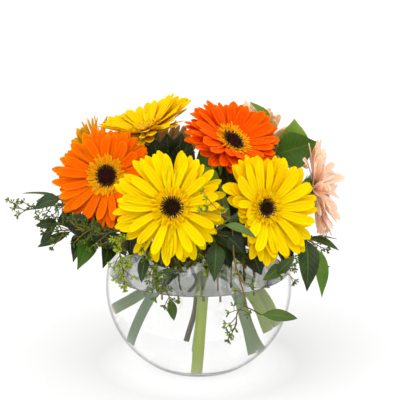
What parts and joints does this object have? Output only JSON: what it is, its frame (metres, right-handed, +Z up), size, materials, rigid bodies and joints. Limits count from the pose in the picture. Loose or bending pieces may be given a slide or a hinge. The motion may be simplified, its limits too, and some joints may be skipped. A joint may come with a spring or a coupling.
{
  "type": "gerberas in a glass bowl vase",
  "caption": "Bouquet of yellow, orange and peach gerberas with salal leaves and seeded eucalyptus, standing in water in a round clear glass bowl.",
  "frame": {"origin": "middle of the bowl's flat foot, on the surface that it stands on", "axes": "+Z up; -Y towards the front, where the two large yellow blooms face; +X to the right seen from the front"},
  "size_m": [0.3211, 0.2223, 0.2578],
  "materials": {
    "glass": "clear polished glass",
    "water": "clear still water",
    "yellow_petal": "soft matt petal, yellow",
    "yellow_floret": "soft matt floret, golden yellow",
    "orange_petal": "soft matt petal, orange",
    "orange_floret": "soft matt floret, light orange",
    "peach_petal": "soft matt petal, pale peach",
    "peach_floret": "soft matt floret, salmon",
    "flower_disc": "dark brown velvety disc with pale specks",
    "gerbera_stem": "soft green stem, finely downy",
    "salal_leaf": "leathery leaf, satin, dark green above",
    "eucalyptus_leaf": "matt grey-green leaf with a waxy bloom"
  },
  "bodies": {
    "root": {"bowl": "glass", "water": "water", "orange_left_petals": "orange_petal", "orange_left_florets": "orange_floret", "orange_left_disc": "flower_disc", "orange_left_stem": "gerbera_stem", "yellow_front_petals": "yellow_petal", "yellow_front_florets": "yellow_floret", "yellow_front_disc": "flower_disc", "yellow_front_stem": "gerbera_stem", "yellow_right_petals": "yellow_petal", "yellow_right_florets": "yellow_floret", "yellow_right_disc": "flower_disc", "yellow_right_stem": "gerbera_stem", "orange_top_petals": "orange_petal", "orange_top_florets": "orange_floret", "orange_top_disc": "flower_disc", "orange_top_stem": "gerbera_stem", "yellow_top_petals": "yellow_petal", "yellow_top_florets": "yellow_floret", "yellow_top_disc": "flower_disc", "yellow_top_stem": "gerbera_stem", "peach_right_petals": "peach_petal", "peach_right_florets": "peach_floret", "peach_right_disc": "flower_disc", "peach_right_stem": "gerbera_stem", "peach_back_right_petals": "peach_petal", "peach_back_right_florets": "peach_floret", "peach_back_right_disc": "flower_disc", "peach_back_right_stem": "gerbera_stem", "orange_back_left_petals": "orange_petal", "orange_back_left_florets": "orange_floret", "orange_back_left_disc": "flower_disc", "orange_back_left_stem": "gerbera_stem", "peach_back_petals": "peach_petal", "peach_back_florets": "peach_floret", "peach_back_disc": "flower_disc", "peach_back_stem": "gerbera_stem", "salal_left": "salal_leaf", "salal_front": "salal_leaf", "salal_right": "salal_leaf", "salal_top_right": "salal_leaf", "salal_middle": "salal_leaf", "salal_back_left": "salal_leaf", "salal_back_right": "salal_leaf", "salal_back": "salal_leaf", "eucalyptus_left": "eucalyptus_leaf", "eucalyptus_left_low": "eucalyptus_leaf", "seeded_front_left": "eucalyptus_leaf", "seeded_front": "eucalyptus_leaf", "eucalyptus_centre": "eucalyptus_leaf", "seeded_front_right": "eucalyptus_leaf", "eucalyptus_right": "eucalyptus_leaf", "eucalyptus_right_back": "eucalyptus_leaf"}
  },
  "joints": []
}
